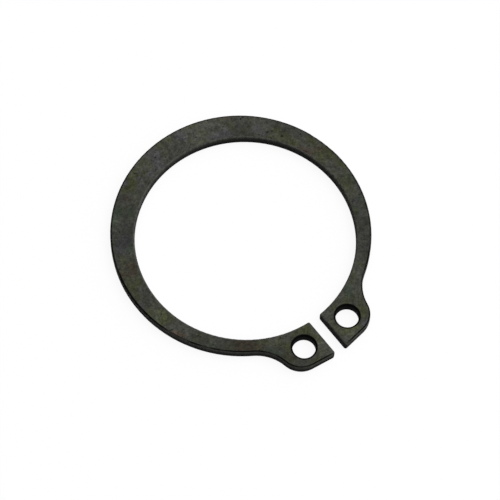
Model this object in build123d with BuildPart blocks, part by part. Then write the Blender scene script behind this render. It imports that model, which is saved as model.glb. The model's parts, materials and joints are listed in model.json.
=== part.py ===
from build123d import *
from math import sqrt
import os

# External circlip for the groove of a 25 mm shaft. It is one flat piece of spring steel, blanked
# from strip: a band that is open at a gap, widest across from the gap and slimmer towards it,
# with a lug and a plier hole on each side of the gap.
#
# The bore's axis is Z. The ring lies on Z = 0 with its rolled edges up, the gap and the lugs
# are towards -Y, and the two sides of the YZ plane are alike. Sizes are in millimetres.

# The bore. A free ring is smaller than the floor of its groove, so that it grips once it is in.
groove_diameter = 23.9
grip_allowance = 0.7

# The band: its width straight across from the gap, and the width it would have at the gap.
band_width_back = 2.86
band_width_gap = 1.32

# The lugs. The reach is from the wall of the bore outwards, and the width from the gap sideways.
gap_width = 1.32
lug_reach = 4.4
lug_width = 4.8
lug_end_radius = 2.42
lug_tip_radius = 0.24
gap_corner_radius = 0.2
neck_radius = 4.35

# The holes for the tips of circlip pliers, halfway up the lug's reach and set in from the gap.
plier_hole_diameter = 2.41
plier_hole_inset = 2.18

# The section that blanking leaves: a rolled edge on top, an upright wall that the die burnished,
# and below it a slight slant where the steel broke away. Tumbling has taken the burr off the foot.
thickness = 1.2
rolled_edge_radius = 0.2
break_height = 0.4
break_depth = 0.03
tumbled_edge = 0.05

bore_radius = (groove_diameter - grip_allowance) / 2
band_radius = bore_radius + (band_width_back + band_width_gap) / 2
band_centre = (0, (band_width_back - band_width_gap) / 2)
gap_half = gap_width / 2
gap_corner = (gap_half, -sqrt(bore_radius**2 - gap_half**2))
lug_tip = (gap_half, -(bore_radius + lug_reach))


def in_lug(from_gap, from_end):
    """The point of the right-hand lug this far from its face at the gap and from its outer end."""
    x = gap_half + from_gap
    return x, -sqrt((bore_radius + lug_reach - from_end) ** 2 - x**2)


lug_end = in_lug(lug_width - lug_end_radius, lug_end_radius)
plier_hole = in_lug(plier_hole_inset, lug_reach / 2)

# A lug is the hull of its rounded end and its straight face at the gap. Its neck is the hollow arc
# that touches the rounded end and the outside of the band, filled in as far as their centres.
with BuildSketch() as lugs:
    with BuildLine():
        end_circle = CenterArc(lug_end, lug_end_radius, 0, 360)
        Line(gap_corner, lug_tip)
    make_hull()
    with BuildLine():
        band_circle = CenterArc(band_centre, band_radius, 0, 360, mode=Mode.PRIVATE)
        neck = ConstrainedArcs(
            (end_circle.edge(), Tangency.OUTSIDE),
            (band_circle.edge(), Tangency.OUTSIDE),
            radius=neck_radius,
            selector=lambda arcs: arcs.sort_by(Axis.X)[-1],
        )
        Polyline(neck @ 1, lug_end, band_centre, neck @ 0)
    make_face()
    mirror(about=Plane.YZ)

with BuildPart() as circlip:
    with BuildSketch() as blank:
        with Locations(band_centre):
            Circle(band_radius)
        add(lugs.sketch)
        Circle(bore_radius, mode=Mode.SUBTRACT)
        with Locations((0, lug_tip[1])):
            Rectangle(gap_width, -lug_tip[1], align=(Align.CENTER, Align.MIN), mode=Mode.SUBTRACT)
        with Locations(plier_hole, (-plier_hole[0], plier_hole[1])):
            Circle(plier_hole_diameter / 2, mode=Mode.SUBTRACT)
        fillet(blank.edges().filter_by(Axis.Y).vertices().group_by(Axis.Y)[0], lug_tip_radius)
        fillet(blank.edges().filter_by(Axis.Y).vertices().group_by(Axis.Y)[-1], gap_corner_radius)
    extrude(amount=thickness)

    # The edges of the section, all the way round the outline, the bore and the holes.
    foot = circlip.faces().sort_by(Axis.Z)[0]
    chamfer(foot.edges(), length=break_depth, length2=break_height, reference=foot)
    chamfer(circlip.faces().sort_by(Axis.Z)[0].edges(), tumbled_edge)
    fillet(circlip.faces().sort_by(Axis.Z)[-1].edges(), rolled_edge_radius)

circlip.part.label = "circlip"
os.makedirs("parts", exist_ok=True)
export_step(circlip.part, "parts/circlip.step")
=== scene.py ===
import json
import math

import bmesh
import bpy
from mathutils import Matrix, Vector


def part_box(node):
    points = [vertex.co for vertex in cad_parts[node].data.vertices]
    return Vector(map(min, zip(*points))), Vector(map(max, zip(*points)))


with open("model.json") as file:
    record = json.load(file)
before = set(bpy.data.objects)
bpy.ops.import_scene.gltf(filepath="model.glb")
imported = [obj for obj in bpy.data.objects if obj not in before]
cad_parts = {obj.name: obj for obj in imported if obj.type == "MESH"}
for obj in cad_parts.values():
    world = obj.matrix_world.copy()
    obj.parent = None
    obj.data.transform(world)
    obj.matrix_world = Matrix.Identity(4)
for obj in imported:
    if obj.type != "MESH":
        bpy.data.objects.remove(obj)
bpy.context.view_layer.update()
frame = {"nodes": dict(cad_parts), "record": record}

MM = 0.001

# The ring: hardened spring steel, blanked from strip, tumbled, phosphated and oiled. Its shape is the
# solid's own. What is added here is the finish, with painted shade in it: flat faces under a fine
# grey-green coat of crystals, rolled edges painted dark as shade, and sheared walls with an upright land
# that the die rubbed and a rough, dark break whose black is partly painted shade at the foot. The
# bore, the gap and the holes darken with painted shade.
ring = frame["nodes"]["circlip"]
ring_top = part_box("circlip")[1].z / MM
mounts = {mount["name"]: mount for mount in frame["record"]["mounts"]}
bore_radius = mounts["shaft_groove"]["dims"]["r_mm"]
plier_hole_radius = mounts["plier_hole_right"]["dims"]["r_mm"]
plier_hole_x, plier_hole_y = (c / MM for c in mounts["plier_hole_right"]["pos_m"][:2])


def linear(hex_colour):
    """A colour written in sRGB hex, as the linear values that a shader takes."""
    parts = [int(hex_colour[i:i + 2], 16) / 255 for i in (1, 3, 5)]
    return [c / 12.92 if c <= 0.04045 else ((c + 0.055) / 1.055) ** 2.4 for c in parts] + [1.0]


def add(tree, kind, sockets=None, **settings):
    """Adds a node with its settings. A socket is given a value, a node or another node's output."""
    made = tree.nodes.new("ShaderNode" + kind)
    for name, value in settings.items():
        setattr(made, name, value)
    for key, value in (sockets or {}).items():
        socket = made.inputs[key] if isinstance(key, int) else next(
            s for s in made.inputs if s.name == key and s.enabled)
        if isinstance(value, bpy.types.Node):
            value = next(s for s in value.outputs if s.enabled)
        if isinstance(value, bpy.types.NodeSocket):
            tree.links.new(value, socket)
        else:
            socket.default_value = value
    return made


# Zinc phosphate on hardened steel, with a film of oil: a dull, nearly black coat. To the eye it is an
# olive grey that drifts to a neutral, a bluish, a greenish and a brownish grey from place to place.
OLIVE = "#3a3d27"
NEUTRAL = "#3d3e38"
BLUISH = "#3f3f40"
GREENISH = "#363e33"
BROWNISH = "#3d352c"
PIT = "#191914"
# Painted shade: the near black of the rolled edges.
EDGE_SHADE = "#070706"
LAND = "#4a4a46"
BORE = "#484844"
# Partly the real dark break, and partly painted shade at the foot of the walls.
BREAK_AND_FOOT_SHADE = "#0b0b0a"
# Painted shade: the near black of the plier holes and of the foot of the bore and the gap.
HOLE_SHADE = "#020202"

steel = bpy.data.materials.new("phosphated_spring_steel")
steel.use_nodes = True
tree = steel.node_tree
tree.nodes.clear()

# Where a point is on the ring, in millimetres, and how nearly level its surface is: 1 on a flat face and
# 0 on an upright wall, with the rolled edge between them. The painted shade of the bore and the holes
# reaches out over their rolled edges, and the gap's reaches this far to either side of its middle.
flat_level = 0.9995
edge_level = 0.985
shoulder_level = 0.75
wall_level = 0.50
bore_edge = bore_radius + 0.26
hole_edge = plier_hole_radius + 0.21
gap_edge = 0.9
edge_blend = 0.04
place = add(tree, "TexCoord").outputs["Object"]
in_mm = add(tree, "VectorMath", {0: place, "Scale": 1 / MM}, operation="SCALE")
axes = add(tree, "SeparateXYZ", {0: in_mm})
upward = add(tree, "SeparateXYZ", {0: add(tree, "NewGeometry").outputs["Normal"]}).outputs["Z"]
level = add(tree, "Math", {0: upward}, operation="ABSOLUTE")
flat_share = add(tree, "MapRange", {"Value": level, "From Min": edge_level, "From Max": flat_level})
wall_share = add(tree, "MapRange", {"Value": level, "From Min": shoulder_level, "From Max": wall_level})
across = add(tree, "CombineXYZ", {"X": axes.outputs["X"], "Y": axes.outputs["Y"]})
from_axis = add(tree, "VectorMath", {0: across}, operation="LENGTH").outputs["Value"]
bore_share = add(tree, "MapRange", {"Value": from_axis, "From Min": bore_edge + edge_blend,
                                    "From Max": bore_edge - edge_blend})
to_side = add(tree, "Math", {0: axes.outputs["X"]}, operation="ABSOLUTE")
from_gap = add(tree, "Math", {0: to_side, 1: axes.outputs["Y"]}, operation="MAXIMUM")
gap_share = add(tree, "MapRange", {"Value": from_gap, "From Min": gap_edge + edge_blend,
                                   "From Max": gap_edge - edge_blend})
mirrored = add(tree, "CombineXYZ", {"X": to_side, "Y": axes.outputs["Y"]})
from_hole = add(tree, "VectorMath", {0: mirrored, 1: (plier_hole_x, plier_hole_y, 0)},
                operation="DISTANCE").outputs["Value"]
hole_share = add(tree, "MapRange", {"Value": from_hole, "From Min": hole_edge + edge_blend,
                                    "From Max": hole_edge - edge_blend})

# The coat on the flat faces. Real crystals are 0.01 to 0.05 mm across, too fine to show, so they are
# drawn 0.14 mm across, in clusters of 0.45 mm. The patches, and the clouds of a few millimetres, are
# where the coat grew thicker or thinner. Widths are in millimetres, and noise is mostly 0.3 to 0.7.
crystal_width = 0.14
pit_width = 0.33
grain_width = 0.45
patch_width = 2.0
tint_width = 2.2
cloud_width = 5.0
pit_seed = 11.0
patch_seed = 1463.0
tint_seed = 839.5
cloud_seed = 717.4
crystal_contrast = 0.25
grain_contrast = 0.72
cloud_contrast = 0.37
noise_low = 0.3
noise_high = 0.7
cloud = add(tree, "TexNoise", {"Vector": in_mm, "Scale": 1 / cloud_width, "Detail": 1.0, "W": cloud_seed},
            noise_dimensions="4D")
patch = add(tree, "TexNoise", {"Vector": in_mm, "Scale": 1 / patch_width, "Detail": 3.0, "W": patch_seed},
            noise_dimensions="4D")
tint = add(tree, "TexNoise", {"Vector": in_mm, "Scale": 1 / tint_width, "Detail": 2.0, "W": tint_seed},
           noise_dimensions="4D")
tints = add(tree, "SeparateXYZ", {0: tint.outputs["Color"]})
grain = add(tree, "TexNoise", {"Vector": in_mm, "Scale": 1 / grain_width, "Detail": 4.0, "Roughness": 0.75})
crystal = add(tree, "TexVoronoi", {"Vector": in_mm, "Scale": 1 / crystal_width})
crystal_value = add(tree, "SeparateXYZ", {0: crystal.outputs["Color"]}).outputs["X"]
pits = add(tree, "TexNoise", {"Vector": in_mm, "Scale": 1 / pit_width, "Detail": 1.0, "W": pit_seed},
           noise_dimensions="4D")

# Each tint comes in over a short stretch of its noise, so that its patches have soft borders.
neutral_share = add(tree, "MapRange", {"Value": patch, "From Min": 0.36, "From Max": 0.54})
bluish_share = add(tree, "MapRange", {"Value": tints.outputs["X"], "From Min": 0.57, "From Max": 0.66})
brownish_share = add(tree, "MapRange", {"Value": tints.outputs["X"], "From Min": 0.39, "From Max": 0.28})
greenish_share = add(tree, "MapRange", {"Value": tints.outputs["Y"], "From Min": 0.59, "From Max": 0.70})
pit_share = add(tree, "MapRange", {"Value": pits, "From Min": 0.34, "From Max": 0.26})
coat = add(tree, "Mix", {"Factor": neutral_share, "A": linear(OLIVE), "B": linear(NEUTRAL)},
           data_type="RGBA")
coat = add(tree, "Mix", {"Factor": bluish_share, "A": coat, "B": linear(BLUISH)}, data_type="RGBA")
coat = add(tree, "Mix", {"Factor": greenish_share, "A": coat, "B": linear(GREENISH)}, data_type="RGBA")
coat = add(tree, "Mix", {"Factor": brownish_share, "A": coat, "B": linear(BROWNISH)}, data_type="RGBA")
cloudiness = add(tree, "MapRange", {"Value": cloud, "From Min": noise_low, "From Max": noise_high,
                                    "To Min": 1 - cloud_contrast, "To Max": 1 + cloud_contrast})
speckle = add(tree, "MapRange", {"Value": grain, "From Min": 0.25, "From Max": 0.75,
                                 "To Min": 1 - grain_contrast, "To Max": 1 + grain_contrast})
facets = add(tree, "MapRange", {"Value": crystal_value, "To Min": 1 - crystal_contrast,
                                "To Max": 1 + crystal_contrast})
depth = add(tree, "Math", {0: cloudiness, 1: speckle}, operation="MULTIPLY")
depth = add(tree, "Math", {0: depth, 1: facets}, operation="MULTIPLY")
coat = add(tree, "VectorMath", {0: coat, "Scale": depth}, operation="SCALE")
coat = add(tree, "Mix", {"Factor": pit_share, "A": coat, "B": linear(PIT)}, data_type="RGBA")

# The walls. The punch's upright scratches are under 0.1 mm wide, too fine to show, so they are drawn
# 0.29 mm wide, and the top of the break wanders with them. The break is dark as a real break is, and
# its black also stands for painted shade at the foot. The bore and the gap are pale near the top and
# darken downwards with painted shade, the holes are painted nearly black as shade, and the rolled
# edges are painted dark as shade and rubbed here and there.
scratch_width = 0.29
scratch_stretch = 0.12
scratch_contrast = 0.4
break_top = 0.68
break_blend = 0.10
break_wander = 0.12
bore_pale_from = 0.4
gap_pale_from = 0.9
gap_pale_at = ring_top + 0.1
most_rubbed = 0.35
streak_place = add(tree, "VectorMath", {0: in_mm, 1: (1, 1, scratch_stretch)}, operation="MULTIPLY")
streaks = add(tree, "TexNoise", {"Vector": streak_place, "Scale": 1 / scratch_width, "Detail": 4.0,
                                 "Roughness": 0.7})
wander = add(tree, "MapRange", {"Value": streaks, "From Min": noise_low, "From Max": noise_high,
                                "To Min": -break_wander, "To Max": break_wander})
wall_height = add(tree, "Math", {0: axes.outputs["Z"], 1: wander}, operation="ADD")
above_break = add(tree, "MapRange", {"Value": wall_height, "From Min": break_top - break_blend,
                                     "From Max": break_top + break_blend})
# Painted shade: how far up the walls of the bore and the gap the painted shade reaches.
bore_shade_fade = add(tree, "MapRange", {"Value": wall_height, "From Min": bore_pale_from,
                                     "From Max": ring_top})
gap_shade_fade = add(tree, "MapRange", {"Value": wall_height, "From Min": gap_pale_from,
                                    "From Max": gap_pale_at})
wall_tone = add(tree, "MapRange", {"Value": streaks, "From Min": noise_low, "From Max": noise_high,
                                   "To Min": 1 - scratch_contrast, "To Max": 1 + scratch_contrast})
# The break is dark as a real break is, and its black also stands for painted shade at the foot.
wall = add(tree, "Mix", {"Factor": above_break, "A": linear(BREAK_AND_FOOT_SHADE), "B": linear(LAND)}, data_type="RGBA")
rubbed = add(tree, "MapRange", {"Value": patch, "From Min": 0.50, "From Max": 0.65,
                                "To Max": most_rubbed})
# Painted shade: the rolled edges are painted nearly black as shade, rubbed paler here and there.
edge_shade_and_wear = add(tree, "Mix", {"Factor": rubbed, "A": linear(EDGE_SHADE), "B": linear(LAND)}, data_type="RGBA")
wall = add(tree, "Mix", {"Factor": wall_share, "A": edge_shade_and_wear, "B": wall}, data_type="RGBA")
# Painted shade: the walls of the bore and the gap go from pale at the top to near black at the foot.
bore = add(tree, "Mix", {"Factor": bore_shade_fade, "A": linear(HOLE_SHADE), "B": linear(BORE)}, data_type="RGBA")
wall = add(tree, "Mix", {"Factor": bore_share, "A": wall, "B": bore}, data_type="RGBA")
gap = add(tree, "Mix", {"Factor": gap_shade_fade, "A": linear(HOLE_SHADE), "B": linear(BORE)}, data_type="RGBA")
wall = add(tree, "Mix", {"Factor": gap_share, "A": wall, "B": gap}, data_type="RGBA")
wall = add(tree, "VectorMath", {0: wall, "Scale": wall_tone}, operation="SCALE")
colour = add(tree, "Mix", {"Factor": flat_share, "A": wall, "B": coat}, data_type="RGBA")
# Painted shade: the plier holes are painted nearly black as the shade down in them.
colour = add(tree, "Mix", {"Factor": hole_share, "A": colour, "B": linear(HOLE_SHADE)}, data_type="RGBA")

# The oiled coat is satin on the flats, and matt on the edges, the walls and down in the holes. The
# crystals and the scratches stand a few hundredths of a millimetre proud.
flat_roughness = (0.52, 0.68)
wall_roughness = (0.85, 1.0)
edge_roughness = 1.0
hole_roughness = 1.0
oil_ior = 1.5
oil_shine = 0.1
relief_depth = 0.03
relief_strength = 0.35
flat_matt = add(tree, "MapRange", {"Value": grain, "From Min": noise_low, "From Max": noise_high,
                                   "To Min": flat_roughness[0], "To Max": flat_roughness[1]})
wall_matt = add(tree, "MapRange", {"Value": streaks, "From Min": noise_low, "From Max": noise_high,
                                   "To Min": wall_roughness[0], "To Max": wall_roughness[1]})
matt = add(tree, "Mix", {"Factor": wall_share, "A": edge_roughness, "B": wall_matt}, data_type="FLOAT")
matt = add(tree, "Mix", {"Factor": flat_share, "A": matt, "B": flat_matt}, data_type="FLOAT")
matt = add(tree, "Mix", {"Factor": hole_share, "A": matt, "B": hole_roughness}, data_type="FLOAT")
relief = add(tree, "Mix", {"Factor": flat_share, "A": streaks, "B": grain}, data_type="FLOAT")
bumps = add(tree, "Bump", {"Strength": relief_strength, "Distance": relief_depth * MM, "Height": relief})
surface = add(tree, "BsdfPrincipled", {"Base Color": colour, "Roughness": matt, "IOR": oil_ior,
                                       "Specular IOR Level": oil_shine, "Normal": bumps})
add(tree, "OutputMaterial", {"Surface": surface})

ring.data.materials.clear()
ring.data.materials.append(steel)

# The ground that the ring lies on: a wide sheet of smooth white board. The ring rests flat on it.
# Most of its white is its own glow towards the eye, so that it reads as white and keeps a soft shadow.
# Its face is a hair below the ring's, so that the two don't share one plane.
ground_radius = 3.0
ground_height = -0.005 * MM
ground_glow = 0.90
ground_colour = "#595959"
board_mesh = bpy.data.meshes.new("ground")
board_form = bmesh.new()
bmesh.ops.create_circle(board_form, cap_ends=True, segments=96, radius=ground_radius)
bmesh.ops.translate(board_form, verts=board_form.verts, vec=(0, 0, ground_height))
board_form.to_mesh(board_mesh)
board_form.free()
ground = bpy.data.objects.new("ground", board_mesh)
bpy.context.scene.collection.objects.link(ground)
white_board = bpy.data.materials.new("white_board")
white_board.use_nodes = True
tree = white_board.node_tree
tree.nodes.clear()
ray = add(tree, "LightPath")
seen = add(tree, "Math", {0: ray.outputs["Is Camera Ray"], 1: ray.outputs["Is Glossy Ray"]},
           operation="MAXIMUM")
seen = add(tree, "Math", {0: seen, 1: ray.outputs["Is Transmission Ray"]}, operation="MAXIMUM")
glow = add(tree, "Math", {0: seen, 1: ground_glow}, operation="MULTIPLY")
paper = add(tree, "BsdfDiffuse", {"Color": linear(ground_colour)})
shine = add(tree, "Emission", {"Strength": glow})
both = add(tree, "AddShader", {0: paper, 1: shine})
add(tree, "OutputMaterial", {"Surface": both})
board_mesh.materials.append(white_board)

# The light: a white studio dome, brightest high up to the right of the ring and falling to dark grey
# low down and on the left, which the edges there mirror, with one large softbox in its bright part.
light_azimuth = 70
light_elevation = 57
bright_strength = 1.62
dark_strength = 0.08
bright_within = 38
dark_beyond = 78
softbox_width = 0.5
softbox_distance = 0.65
softbox_power = 1.0


def towards(azimuth, elevation):
    """The direction at these angles, in degrees. Azimuth 0 is the gap's side, and 90 the right-hand side."""
    turn = math.radians(azimuth)
    tilt = math.radians(elevation)
    return Vector((math.sin(turn) * math.cos(tilt), -math.cos(turn) * math.cos(tilt), math.sin(tilt)))


light_from = towards(light_azimuth, light_elevation)
world = bpy.data.worlds.new("studio")
bpy.context.scene.world = world
world.use_nodes = True
tree = world.node_tree
tree.nodes.clear()
direction = add(tree, "TexCoord").outputs["Generated"]
nearness = add(tree, "VectorMath", {0: direction, 1: light_from}, operation="DOT_PRODUCT").outputs["Value"]
dome = add(tree, "MapRange", {"Value": nearness, "From Min": math.cos(math.radians(dark_beyond)),
                              "From Max": math.cos(math.radians(bright_within)),
                              "To Min": dark_strength, "To Max": bright_strength},
           interpolation_type="SMOOTHSTEP")
air = add(tree, "Background", {"Strength": dome})
add(tree, "OutputWorld", {"Surface": air})

softbox = bpy.data.lights.new("softbox", "AREA")
softbox.shape = "DISK"
softbox.size = softbox_width
softbox.energy = softbox_power
lamp = bpy.data.objects.new("softbox", softbox)
bpy.context.scene.collection.objects.link(lamp)
lamp.location = light_from * softbox_distance
lamp.rotation_euler = light_from.to_track_quat("Z", "Y").to_euler()

# The camera looks down at the ring from the side of the left-hand lug, nearly 30 cm away.
camera_azimuth = -40.53
camera_elevation = 65.58
camera_roll = 2.96
camera_distance = 288.94 * MM
camera_target = Vector((-0.39, -1.29, 0.6)) * MM
focal_length = 198.88
sensor_width = 36.0
eye = bpy.data.cameras.new("camera")
eye.lens = focal_length
eye.sensor_width = sensor_width
eye.clip_start = 0.01
eye.clip_end = 50.0
camera = bpy.data.objects.new("camera", eye)
bpy.context.scene.collection.objects.link(camera)
back = towards(camera_azimuth, camera_elevation)
camera.location = camera_target + back * camera_distance
roll = Matrix.Rotation(math.radians(camera_roll), 4, "Z")
camera.rotation_euler = (back.to_track_quat("Z", "Y").to_matrix().to_4x4() @ roll).to_euler()
bpy.context.scene.camera = camera

# Colours show as they are written.
bpy.context.scene.view_settings.view_transform = "Standard"
